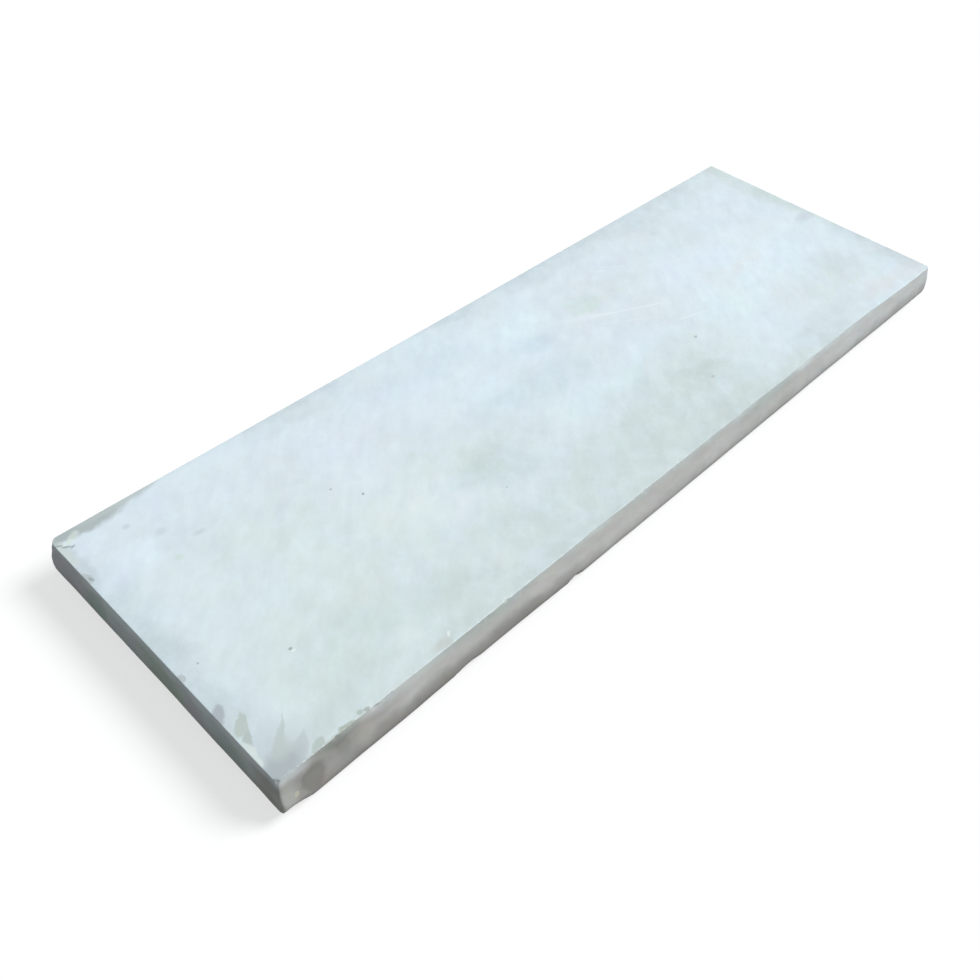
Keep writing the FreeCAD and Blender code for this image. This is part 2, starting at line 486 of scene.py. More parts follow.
@dataclass
class CastSlab:
    """The cast slab: its section, its relief and the mesh that shows them."""

    name: str = "cast_slab"
    node: str = "paving_slab"
    size: SlabSizes = SlabSizes()
    columns: int = 1400
    end_columns: int = 82
    corner_columns: int = 8
    face_rows: int = 30
    arris_rows: int = 3
    side_rows: int = 16
    roll_rows: int = 13
    back_rows: int = 8
    face_crowding: float = 1.6
    back_crowding: float = 1.5
    weld: float = 0.01 * MM
    swell_grain: float = 110 * MM
    swell_height: float = 0.4 * MM
    lump_grain: float = 60 * MM
    lump_height: float = 1.2 * MM
    strays: Strays = Strays()
    fullness: float = 2.0 * MM
    arris_wander: float = 2.4 * MM
    arris_nick: float = 1.5 * MM
    arris_drop: float = 0.45
    seed: float = 4.0

    def build(self, concrete: bpy.types.Material) -> bpy.types.Object:
        """Make the slab's mesh and turn it into a plain object.

        Args:
            concrete: The material that the mesh carries.

        Returns:
            The finished piece.
        """
        tree = bpy.data.node_groups.new(self.name + "_shape", "GeometryNodeTree")
        tree.interface.new_socket("Geometry", in_out="INPUT", socket_type="NodeSocketGeometry")
        tree.interface.new_socket("Geometry", in_out="OUTPUT", socket_type="NodeSocketGeometry")
        sizes = {
            "Length": self.size.length,
            "Width": self.size.width,
            "Thickness": self.size.thickness,
            "Draft": self.size.draft,
            "Corner Round": self.size.corner_round,
            "Back Roll": self.size.back_roll,
            "Face Arris": self.size.face_arris,
            "Seed": self.seed,
        }
        for key in sizes:
            tree.interface.new_socket(key, in_out="INPUT", socket_type="NodeSocketFloat")
        board = Board(tree)
        given = board.node("NodeGroupInput")
        size = {key: given.output(key) for key in sizes}
        solid = self.relief(board, self.section(board, size), size)
        dressing = {"Geometry": solid, "Material": concrete}
        dressed = board.node("GeometryNodeSetMaterial", {}, dressing)
        real = board.node("GeometryNodeRealizeInstances", {}, {0: dressed.output()})
        board.node("NodeGroupOutput", {}, {0: real.output()})

        label = self.name + "_carrier"
        carrier = bpy.data.objects.new(label, bpy.data.meshes.new(label))
        bpy.context.scene.collection.objects.link(carrier)
        modifier = carrier.modifiers.new("Shape", "NODES")
        modifier.node_group = tree
        for item in tree.interface.items_tree:
            if item.in_out == "INPUT" and item.name in sizes:
                modifier[item.identifier] = sizes[item.name]
        bpy.context.view_layer.update()
        ready = carrier.evaluated_get(bpy.context.evaluated_depsgraph_get())
        mesh = bpy.data.meshes.new_from_object(ready)
        mesh.name = self.name
        carrier.modifiers.remove(modifier)
        bpy.data.objects.remove(carrier)
        piece = bpy.data.objects.new(self.name, mesh)
        bpy.context.scene.collection.objects.link(piece)
        return piece

    def section(self, board: Board, size: Dict[str, Wire]) -> Wire:
        """Sweep the slab's section round its rounded outline.

        The section is walked from the middle of the walking face to the middle
        of the back. Each span of rows adds its own run and drop.

        Args:
            board: The geometry tree.
            size: The tree's named sizes.

        Returns:
            The closed skin of the slab.
        """
        spans = (self.face_rows, self.arris_rows, self.side_rows, self.roll_rows, self.back_rows)
        rows = sum(spans)
        sheet = {
            "Size X": 1.0,
            "Size Y": 1.0,
            "Vertices X": self.columns + 1,
            "Vertices Y": rows + 1,
        }
        grid = board.node("GeometryNodeMeshGrid", {}, sheet)
        place = board.node("GeometryNodeInputPosition").output()
        around = place.part(0) + 0.5
        row = (place.part(1) + 0.5) * rows
        starts = [sum(spans[:i]) for i in range(len(spans))]
        face, arris, side, roll, back = (((row - s) / n).clamp() for s, n in zip(starts, spans))

        lean, radius, worn = size["Draft"], size["Back Roll"], size["Face Arris"]
        half_x, half_y = size["Length"] * 0.5, size["Width"] * 0.5
        sine, cosine = board.math("SINE", lean), board.math("COSINE", lean)
        drop = size["Thickness"] - worn * (1.0 - sine) - radius * (1.0 + sine)
        slope = drop / cosine
        rim = radius * (1.0 - cosine) + slope * sine + worn * cosine
        arris_turn = arris * (math.pi / 2 - lean)
        roll_turn = roll * (math.pi / 2 + lean) - lean
        run_in = (half_y - rim) * (1.0 - (1.0 - face) ** self.face_crowding)
        inset = half_y - run_in - worn * board.math("SINE", arris_turn) - slope * sine * side
        inset = inset + radius * (cosine - board.math("COSINE", roll_turn))
        inset = inset + (half_y - radius) * back**self.back_crowding
        height = size["Thickness"] - worn * (1.0 - board.math("COSINE", arris_turn)) - drop * side
        height = height - radius * (sine + board.math("SINE", roll_turn))

        # One quarter of the outline, from the middle of an end to the middle of
        # a long side, is mirrored into the other three.
        column = board.math("PINGPONG", around * 4.0, 1.0) * (self.columns / 4)
        share_y = (column / self.end_columns).low(1.0)
        turn = ((column - self.end_columns) / self.corner_columns).clamp() * (math.pi / 2)
        side_start = self.end_columns + self.corner_columns
        share_x = 1.0 - (column - side_start).high(0.0) / (self.columns / 4 - side_start)
        ring_x, ring_y = half_x - inset, half_y - inset
        bow = size["Corner Round"].low(ring_y)
        x = share_x * (ring_x - bow) + bow * board.math("COSINE", turn)
        y = share_y * (ring_y - bow) + bow * board.math("SINE", turn)
        angle = around * math.tau
        x = x * board.math("SIGN", board.math("COSINE", angle))
        y = y * board.math("SIGN", board.math("SINE", angle))
        ring = {"Geometry": grid.output(), "Position": board.triple(x, y, height)}
        swept = board.node("GeometryNodeSetPosition", {}, ring)
        seam = {"Geometry": swept.output(), "Distance": self.weld}
        closed = board.node("GeometryNodeMergeByDistance", {}, seam)
        outward = board.node("GeometryNodeFlipFaces", {}, {0: closed.output()})
        smooth = board.node("GeometryNodeSetShadeSmooth", {}, {"Geometry": outward.output()})
        return smooth.output()

    def relief(self, board: Board, skin: Wire, size: Dict[str, Wire]) -> Wire:
        """Give the skin its worn corners, waviness, uneven roll and spalls.

        Args:
            board: The geometry tree.
            skin: The swept skin.
            size: The tree's named sizes.

        Returns:
            The skin with its relief.
        """
        place = board.node("GeometryNodeInputPosition").output()
        out = board.node("GeometryNodeInputNormal").output()
        for wear in self.corner_wear():
            LOG.info("%s: worn corner %s", self.name, wear.name)
            place = place + wear.offset(board, place, self.size)
        height = place.part(2)
        seed = size["Seed"]
        bedded = height.ramp(0.0, 4 * MM)
        rolled = height.ramp(28 * MM, 12 * MM) * bedded
        swell = (0.5 - board.noise(place, self.swell_grain, seed=seed)) * self.swell_height
        lumps = 0.5 - board.noise(place, self.lump_grain, 3.0, seed=seed + 3.0)
        lumps = lumps * self.lump_height * rolled
        place = place + board.spread(swell * bedded + lumps) * out
        place = place + self.lean_corrections(board, place)
        place = place + self.ragged_arris(board, place, size)
        for scoop in self.scoops():
            LOG.info("%s: %s", self.name, scoop.name)
            place = scoop.cut(board, place)
        place = place + self.fuller_roll(board, place)
        worn = {"Geometry": skin, "Position": place}
        return board.node("GeometryNodeSetPosition", {}, worn).output()

    def lean_corrections(self, board: Board, place: Wire) -> Wire:
        """Return how far the four sides stray from the mould's even draft.

        The left end stands straighter than the others, the front stands in
        towards the left, and the near right corner swells.

        Args:
            board: The geometry tree.
            place: The points.

        Returns:
            The offset of each point.
        """
        x, y, z = place.part(0), place.part(1), place.part(2)
        stray = self.strays
        lifted = z.ramp(0.0, 6 * MM)
        left = x.ramp(-425 * MM, -444 * MM)
        end_out = z.ramp(16 * MM, 50 * MM, smooth=False) * stray.end_lean_out - stray.end_foot_in
        front = y.ramp(-125 * MM, -144 * MM)
        front_in = x.ramp(330 * MM, -420 * MM) * stray.front_left_in + stray.front_in
        near_right = x.ramp(290 * MM, 405 * MM) * front
        swollen = near_right * (z.ramp(3 * MM, 50 * MM, smooth=False) * stray.near_right_out)
        right = x.ramp(425 * MM, 444 * MM) * y.ramp(-20 * MM, -146 * MM)
        right_out = stray.right_foot_out - z.ramp(28 * MM, 50 * MM) * stray.right_lean_in
        right_out = right * z.ramp(1 * MM, 9 * MM) * right_out
        far = y.ramp(125 * MM, 144 * MM) * z.ramp(10 * MM, 50 * MM)
        far_left = x.ramp(-80 * MM, -400 * MM) * stray.far_left_out
        far_out = far_left + x.ramp(20 * MM, 300 * MM) * stray.far_right_out
        waist = z.ramp(12 * MM, 24 * MM) * z.ramp(40 * MM, 30 * MM)
        bulge = left * y.ramp(110 * MM, 140 * MM) * waist * stray.corner_bulge
        shift_x = (right_out - left * end_out - bulge) * lifted
        shift_y = (front * front_in - swollen + far * far_out + bulge) * lifted
        return board.triple(shift_x, shift_y, 0.0)

    def fuller_roll(self, board: Board, place: Wire) -> Wire:
        """Return how far the front's rolled arris stands proud of an even roll.

        It is fullest at the left and fades out towards the right in three steps.

        Args:
            board: The geometry tree.
            place: The points.

        Returns:
            The offset of each point.
        """
        x, y, z = place.part(0), place.part(1), place.part(2)
        band = z.ramp(0.5 * MM, 8 * MM) * z.ramp(36 * MM, 14 * MM) * y.ramp(-120 * MM, -138 * MM)
        share = x.ramp(360 * MM, 40 * MM, top=0.45) + x.ramp(60 * MM, -200 * MM, top=0.2)
        share = share + x.ramp(-180 * MM, -430 * MM, top=0.35)
        out = Vector((0.0, -math.cos(self.size.spall_facing), -math.sin(self.size.spall_facing)))
        return board.spread(band * share * self.fullness) * out

    def corner_wear(self) -> Sequence[CornerWear]:
        """List the corners that are rounder than the mould's.

        Returns:
            The two corners of the left end.
        """
        return (
            CornerWear("far_left", (-1.0, 1.0), 7.0 * MM, 2.8 * MM, 6.0 * MM),
            CornerWear("near_left", (-1.0, -1.0), 2.5 * MM, 2.5 * MM, 7.0 * MM),
        )

    def ragged_arris(self, board: Board, place: Wire, size: Dict[str, Wire]) -> Wire:
        """Return the small breaks along the front arris of the walking face.

        Args:
            board: The geometry tree.
            place: The points.
            size: The tree's named sizes.

        Returns:
            The offset of each point.
        """
        x, y, z = place.part(0), place.part(1), place.part(2)
        near_rim = z.ramp(45 * MM, 49.6 * MM)
        on_front = y.ramp(-141 * MM, -145 * MM) * near_rim
        seed = size["Seed"]
        wander = board.noise(place, 38 * MM, 3.0, 0.6, seed=seed + 7.0) - 0.5
        grain = board.noise(place, 7 * MM, 2.0, seed=seed + 11.0)
        nick = grain.ramp(0.56, 0.72) * x.ramp(250 * MM, -400 * MM) * self.arris_nick
        push = (wander * self.arris_wander + nick) * on_front
        return board.triple(0.0, push, push.high(0.0) * -self.arris_drop)

    def scoops(self) -> Sequence[Scoop]:
        """List the bites out of the slab.

        Returns:
            The spalls of the front roll and the chip of the near corner.
        """
        size = self.size
        return (
            Scoop.in_front_roll("corner_spall", size, -445 * MM, 46 * MM, 36 * MM, 3.3 * MM),
            Scoop.in_front_roll("long_spall", size, -240 * MM, 200 * MM, 19 * MM, 1.3 * MM),
            Scoop.in_front_roll("deep_spall", size, -270 * MM, 42 * MM, 27 * MM, 2.3 * MM),
            Scoop.in_front_roll("step_spall", size, -145 * MM, 20 * MM, 24 * MM, 2.4 * MM),
            Scoop.at_near_corner("corner_chip", size, 2.4 * MM, 9 * MM),
        )


class Side(Enum):
    """The sides of the slab that carry marks, and the axis each one faces along."""

    FACE = 2
    FRONT = 1
    LEFT_END = 0

    def lift(self, pair: Pair, depth: float) -> Triple:
        """Return a pair of numbers in the side as a triple.

        Args:
            pair: The two numbers, in the order of the side's own axes.
            depth: The number for the axis that the side faces along.

        Returns:
            The triple in X, Y and Z.
        """
        values = list(pair)
        values.insert(self.value, depth)
        return tuple(values)


@dataclass(frozen=True)
class ColourPatch:
    """A patch of another colour, frayed by noise, which may taper to a tongue.

    Its sizes are in millimetres, its turn is in degrees and its colour is a
    screen colour in six hex digits.
    """

    name: str
    middle: Pair
    reach: Pair
    colour: str
    share: float
    soft: float = 1.2
    turn: float = 0.0
    taper: float = 0.0

    def mask(self, place: Wire, side: Side) -> Wire:
        """Return how much of the patch shows.

        Args:
            place: The frayed position, in metres.
            side: The side of the slab that it is on.

        Returns:
            0 outside the patch, rising to its share inside.
        """
        deep, scope = 1000.0, 2.0
        middle = side.lift(tuple(v * MM for v in self.middle), 0.0)
        reach = side.lift(tuple(v * MM * scope for v in self.reach), deep)
        turn = side.lift((0.0, 0.0), math.radians(self.turn))
        offset = place.board.turned(place, middle, turn, reach, self.name)
        if self.taper:
            narrowed = (1.0 - offset.part(0) * (self.taper * scope)).high(0.05)
            offset = place.board.triple(offset.part(0), offset.part(1) / narrowed, 0.0)
        outer, inner = (1.0 + self.soft / 2) / scope, (1.0 - self.soft / 2) / scope
        return place.board.nearness(offset).ramp(1.0 - outer, 1.0 - inner, top=self.share)


def lay_patches(
    colour: Union[Wire, Triple],
    patches: Sequence[ColourPatch],
    side: Side,
    place: Wire,
    where: Optional[Wire] = None,
) -> Wire:
    """Lay patches over a colour, the first at the bottom; some are stains, some painted light and
    painted shade.

    Args:
        colour: The colour below.
        patches: The patches.
        side: The side of the slab that they are on.
        place: The frayed position, in metres.
        where: How much of them may show, all of them where it isn't given.

    Returns:
        The colour with the patches laid over it.
    """
    for one_patch in patches:
        share = one_patch.mask(place, side)
        if where is not None:
            share = share * where
        colour = place.board.blend(share, colour, linear(one_patch.colour))
    return colour


@dataclass(frozen=True)
class Scratch:
    """A thin light scratch on the walking face. Its sizes are in millimetres."""

    name: str
    start: Pair
    stop: Pair
    width: float
    share: float

    def mask(self, place: Wire) -> Wire:
        """Return how much of the scratch shows.

        Args:
            place: The frayed position, in metres.

        Returns:
            0 off the scratch, rising to its share on it.
        """
        start, stop = Vector((*self.start, 0.0)) * MM, Vector((*self.stop, 0.0)) * MM
        half = (stop - start).length / 2
        turn = (0.0, 0.0, math.atan2(stop.y - start.y, stop.x - start.x))
        middle, reach = tuple((start + stop) / 2), (half, self.width * MM, 1000.0)
        offset = place.board.turned(place, middle, turn, reach, self.name)
        run = place.board.math("ABSOLUTE", offset.part(0)).ramp(1.05, 0.8)
        off = place.board.math("ABSOLUTE", offset.part(1)).ramp(0.6, 0.1, top=self.share)
        return run * off


OLIVE = "D0DBD7"
DEEP_OLIVE = "C7D3CF"
LAVENDER = "D3DDE9"
SLATE = "C9DBE1"
ROSE = "DADFE7"
PALE = "E3F2FA"
MINT = "DAF2F0"
LICHEN = "B0BDB6"

FACE_STAINS = (
    ColourPatch("rosy far half", (120, 70), (320, 70), ROSE, 0.45, 1.4),
    ColourPatch("rosy left", (-215, 80), (150, 50), ROSE, 0.3, 1.3),
    ColourPatch("blue left rim", (-443, -30), (24, 100), "B8C9D1", 0.66),
    ColourPatch("lavender far left", (-392, 100), (62, 52), LAVENDER, 0.35, 0.9),
    ColourPatch("olive near left", (-300, -95), (160, 62), OLIVE, 0.55),
    ColourPatch("olive middle left", (-300, 12), (125, 70), "D2DDD5", 0.42),
    ColourPatch("olive left foot", (-255, -118), (45, 22), DEEP_OLIVE, 0.5),
    ColourPatch("green left", (-340, -98), (50, 26), "C6DAD5", 0.36),
    ColourPatch("dull front left", (-380, -132), (30, 16), "C3D1CD", 0.45),
    ColourPatch("deep olive", (-137, -30), (34, 22), "BCCECA", 0.5),
    ColourPatch("olive above middle", (-146, 10), (52, 26), "D3DDD6", 0.36),
    ColourPatch("deep olive run", (-105, -40), (58, 26), DEEP_OLIVE, 0.42),
    ColourPatch("deep olive foot", (-80, -116), (130, 38), DEEP_OLIVE, 0.58),
    ColourPatch("pale middle", (-40, 66), (92, 50), "DCF1FA", 0.42),
    ColourPatch("cool far middle", (-100, 114), (66, 30), "CFE2E8", 0.32),
    ColourPatch("slate middle", (-24, 8), (72, 20), SLATE, 0.5, 1.3),
    ColourPatch("blue gap near middle", (-22, -98), (28, 17), "D6E5EE", 0.35),
    ColourPatch("rosy streaks", (160, 2), (74, 30), "D6DCE0", 0.36),
    ColourPatch("slate spot", (24, 54), (20, 16), "C8DAE4", 0.45),
    ColourPatch("pale cyan", (38, 84), (26, 18), "E2F6FA", 0.5),
    ColourPatch("mint middle", (20, -36), (54, 14), MINT, 0.26),
    ColourPatch("olive near middle", (56, -95), (112, 44), DEEP_OLIVE, 0.56),
    ColourPatch("front olive run", (146, -137), (105, 16), "C6D0CA", 0.5),
    ColourPatch("olive right of middle", (150, -54), (46, 24), "D3DED8", 0.34),
    ColourPatch("olive crest", (62, -56), (26, 13), "BACCC9", 0.26),
    ColourPatch("brown spot", (112, -88), (24, 22), "BFCBC6", 0.42),
    ColourPatch("far rim shade", (0, 149), (460, 10), "BBCBD2", 0.5),
    ColourPatch("far rim middle", (84, 134), (96, 17), "C6D3D9", 0.42),
    ColourPatch("far rim left of middle", (-214, 136), (54, 14), "C7D4D8", 0.5),
    ColourPatch("dull far right", (270, 120), (28, 18), "C9D5D9", 0.45),
    ColourPatch("light far middle", (60, 116), (20, 12), PALE, 0.5),
    ColourPatch("green spot", (113, 68), (20, 14), "C6DED0", 0.45, 1.1),
    ColourPatch("green far right", (165, 66), (36, 16), "CFDFDA", 0.25),
    ColourPatch("pale right", (285, 4), (120, 54), PALE, 0.5),
    ColourPatch("mint right", (240, -34), (52, 22), MINT, 0.15),
    ColourPatch("cyan far right", (270, 74), (54, 20), "CFE4E7", 0.4),
    ColourPatch("olive near right", (345, -88), (62, 30), OLIVE, 0.36),
    ColourPatch("brown near right", (372, -84), (28, 24), "CAD4D2", 0.32, 1.1),
    ColourPatch("slate near right", (250, -124), (40, 20), "C6D2D3", 0.5),
    ColourPatch("pink near right", (388, -134), (52, 12), "DBDADA", 0.42, 1.1),
    ColourPatch("orange fleck", (300, -3), (28, 8), "E1DDD6", 0.25, 1.2, 16),
    ColourPatch("warm right", (284, -84), (40, 30), "DCE2E1", 0.32),
    ColourPatch("warm right of middle", (268, -4), (26, 16), "DDE3E2", 0.32),
    ColourPatch("dull right rim", (447, 40), (18, 120), "C6D5D1", 0.6),
    ColourPatch("near right corner", (444, -98), (24, 62), "C1CCCF", 0.6),
    ColourPatch("dull near right", (312, -128), (34, 18), "C7D0CD", 0.28),
    ColourPatch("far right corner", (440, 140), (22, 16), "C2CCCC", 0.55),
    ColourPatch("far left corner", (-441, 140), (15, 11), "A9B4B4", 0.75, 1.1),
    ColourPatch("left rim shade", (-448, 100), (7, 44), "B7C4CA", 0.5),
    ColourPatch("far rim right", (300, 141), (150, 20), "CBD8DA", 0.45),
    ColourPatch("pale left patch", (-398, 74), (10, 14), PALE, 0.6, 1.1),
    ColourPatch("rosy light patch", (-187, -48), (24, 15), "E2EBED", 0.5),
    ColourPatch("light gap left", (-186, 4), (22, 14), "E2ECED", 0.45),
    ColourPatch("light gap in olive", (-112, -14), (15, 11), "DFEAEC", 0.3),
    ColourPatch("light gap middle", (-50, 28), (18, 11), "E2F0F6", 0.5),
    ColourPatch("light gap near", (86, -65), (16, 12), "E1EBEC", 0.5),
    ColourPatch("light gap front", (-206, -111), (18, 12), "E0EAEB", 0.5),
    ColourPatch("light ridge", (-221, -30), (28, 24), "E3ECED", 0.5),
    ColourPatch("light ridge beyond", (-221, 42), (34, 36), "E0EBF7", 0.5),
    ColourPatch("light near patch", (-303, -120), (14, 9), "E4EFEF", 0.5, 1.1),
    ColourPatch("front rim shade", (-70, -152), (340, 13), "C0CCC7", 0.5, 1.1),
)

CORNER_STAINS = (
    ColourPatch("near corner mist", (-433, -134), (28, 22), "C3CCD1", 0.62, 1.1, 45),
    ColourPatch("near corner damp", (-440, -141), (20, 13), "A9B2B5", 0.82, 0.9, 20),
    ColourPatch("damp spike", (-423, -119), (17, 3.4), "BBC7C4", 0.7, 0.8, 47, 0.8),
    ColourPatch("spike root", (-427, -128), (9, 6), "C0CCC9", 0.5, 1.0, 47),
    ColourPatch("damp tongue", (-415, -133), (9, 4), "BAC3C8", 0.6, 0.8, 47, 0.6),
    ColourPatch("upper tongue", (-436, -93.5), (10, 3.8), "B9C4BE", 0.85, 0.5, 58, 0.6),
    ColourPatch("lower tongue", (-441, -107), (8.5, 3.6), "B4BEBC", 0.85, 0.4, 50, 0.4),
    ColourPatch("left rim patch", (-444, -77), (4.5, 9), "AAB1B8", 0.85, 0.5, -25),
    ColourPatch("light gap", (-446, -117), (4, 12), "D6E2DF", 0.9, 0.4, -8),
    ColourPatch("mist lobe", (-410, -144), (8, 4), "B3BFBA", 0.75, 0.6, 40),
    ColourPatch("front break", (-386, -146), (8, 4), "A9B3A9", 0.9, 0.5),
    ColourPatch("front rim dark", (-398, -147.5), (26, 3), "B3BBB3", 0.7, 0.6),
    ColourPatch("front rust", (-290, -141), (8, 4), "C3C6BF", 0.55, 0.9),
    ColourPatch("far rim lichen", (-426, 146), (40, 11), "ABB5B6", 0.9, 0.55, -6),
    ColourPatch("far rim lichen run", (-388, 148), (40, 7), "BAC4C3", 0.8, 0.6),
    ColourPatch("flake", (-430, 138), (6, 3.4), "D3E0DA", 0.65, 0.8, 30),
    ColourPatch("left rim buff", (-444, 124), (4.5, 15), "CDD6D3", 0.75, 0.8),
    ColourPatch("left rim grey", (-445.5, 92), (3, 6), "AFB8BA", 0.7, 0.8),
)

SMALL_STAINS = (
    ColourPatch("left rim fleck", (-445, -34), (3, 4), "B4BDC0", 0.8, 0.4),
    ColourPatch("front spot", (-372, -142.5), (2.4, 2), LICHEN, 0.8, 0.7),
    ColourPatch("second front spot", (-367, -144), (2.6, 1.8), "A4AFA6", 0.8, 0.7),
    ColourPatch("front white fleck", (-281, -137), (2.6, 1.1), "EAF3F1", 0.75, 0.8, 50),
    ColourPatch("second flake", (-436, 134), (4, 2), "D9E6E0", 0.85, 0.4, 20),
    ColourPatch("speckle", (-440, 131), (4, 1.2), "8F9A98", 0.7, 0.7, -30),
    ColourPatch("second speckle", (-436, 128), (2.6, 1.0), "8F9A98", 0.7, 0.7, 15),
    ColourPatch("far speckle", (-444, 136), (3, 1.2), "97A2A0", 0.7, 0.5, -30),
    ColourPatch("rim speckle", (-443, 89), (1.4, 3), "99A3A3", 0.7, 0.5, 20),
    ColourPatch("lavender dot", (-395, 118), (3, 2.6), "BFC6D6", 0.45, 1.1),
    ColourPatch("grey dot", (-378, 95), (4, 3.4), "C2CDD3", 0.45),
    ColourPatch("grey dash", (-356, 73), (5, 2.4), "BCC8CC", 0.45),
    ColourPatch("green dot", (-382.6, 62), (3.4, 3.4), "C6DCCF", 0.5),
    ColourPatch("pit", (-373.6, -66.6), (1.5, 1.1), "97A4A2", 0.85, 0.8),
    ColourPatch("pit rim", (-373, -69.4), (1.8, 1.0), "EAF4F0", 0.8, 0.6),
    ColourPatch("left pinhole", (-250, 38), (1.1, 1.1), "93A2A4", 0.7, 0.8),
    ColourPatch("middle pinhole", (-233.5, 15.5), (1.2, 1.2), "87969A", 0.8, 0.8),
    ColourPatch("near pinhole", (-140, -62), (1.0, 1.0), "A3B2B2", 0.6, 0.8),
    ColourPatch("right pinhole", (150, -47), (2.2, 1.4), "A0AAAC", 0.6, 0.9),
    ColourPatch("far right pinhole", (112, -96), (2.2, 1.6), "B3B8AF", 0.6, 0.9),
    ColourPatch("dark spot right", (430, 3), (13, 7), "C0C6D0", 0.45, 1.3),
    ColourPatch("scratch haze", (88, 51), (30, 5), "E4EDF3", 0.45, 1.3, -26),
    ColourPatch("far corner tick", (166, 93), (5, 1.6), "EAF1F3", 0.5, 1.0, -28),
    ColourPatch("rim pinhole", (-429, -31), (1.0, 1.0), "98A6AA", 0.7, 0.8),
)

# Stains on the front, with painted light along its top and painted shade along its foot.
FRONT_STAINS_AND_PAINTED_SHADING = (
    ColourPatch("brown near corner", (-412, 22), (62, 58), "A3A29D", 0.85, 1.0),
    ColourPatch("dark blotch", (-419, 30), (10, 13), "7D7D76", 0.6, 0.5),
    ColourPatch("green break", (-391, 46), (15, 6.5), "868E85", 0.6, 0.9),
    # Painted light: a pale strip on the front beside the rounded near corner.
    ColourPatch("painted light beside near corner", (-441, 28), (7, 20), "CACDC7", 0.45, 1.0),
    ColourPatch("pebble", (-434, 25), (2.6, 2.4), "CFCDB8", 0.75, 0.5),
    ColourPatch("dark streak", (-393, 38), (6, 11), "85837E", 0.4, 0.9),
    # Painted light: pale bands along the top of the front, where it turns up towards the light.
    ColourPatch("light shoulder at left", (-345, 52), (42, 10), "DEE5E2", 0.7),
    ColourPatch("light shoulder at right", (205, 52), (150, 8), "E8F0F2", 0.75),
    ColourPatch("warm streak", (-372, 28), (9, 13), "C6C2BA", 0.5, 1.1),
    # Painted shade: dark bands along the foot of the front, deepest in the hollow spalls.
    ColourPatch("painted foot shade at left", (-350, 14), (70, 12), "908E8A", 0.45),
    ColourPatch("painted shade in spalls", (-245, 15), (100, 15), "7E7B76", 0.62, 1.1),
    ColourPatch("light right", (450, 36), (200, 32), "E4E9E8", 0.8, 1.1),
    # Painted shade along the foot of the front at the right.
    ColourPatch("painted foot shade at right", (420, 14), (150, 13), "898683", 0.44),
    ColourPatch("pale vein", (-180, 38), (20, 10), "D8D8D4", 0.5),
    ColourPatch("pale patch", (60, 33), (26, 12), "D9DAD9", 0.45),
    ColourPatch("green rim", (-250, 46), (36, 9), "BCC8C1", 0.5),
    ColourPatch("green rim right", (130, 44), (40, 11), "BECBC7", 0.5),
    ColourPatch("chip", (-444, 48), (6, 4), "C6CBCB", 0.4, 1.0),
)

# Stains on the left end, with painted light along its top.
END_STAINS_AND_PAINTED_LIGHT = (
    ColourPatch("end chip", (-144, 48), (6, 4), "C6CBCB", 0.4, 1.0),
    # Painted light: a pale band along the top of the left end.
    ColourPatch("end shoulder", (0, 53), (220, 10), "E6EEF0", 0.7),
    ColourPatch("end algae", (-10, 26), (30, 18), "9FB59F", 0.5, 1.2, 30),
    ColourPatch("end algae near", (-92, 24), (22, 14), "94AAA0", 0.4),
    ColourPatch("end algae far", (85, 26), (16, 14), "8FAE98", 0.5),
    ColourPatch("end lilac", (120, 36), (30, 14), "C6C0CC", 0.4, 1.1),
    ColourPatch("end lilac near", (-48, 26), (12, 14), "BDB4C4", 0.4),
)

SCRATCHES = (
    Scratch("long scratch", (92, 48), (178, 8), 2.6, 0.6),
    Scratch("short scratch", (170, 98), (196, 79), 2.4, 0.45),
    Scratch("near scratch", (160, -18), (196, -29), 3.0, 0.45),
    Scratch("faint scratch", (92, 34), (150, -2), 2.2, 0.25),
)


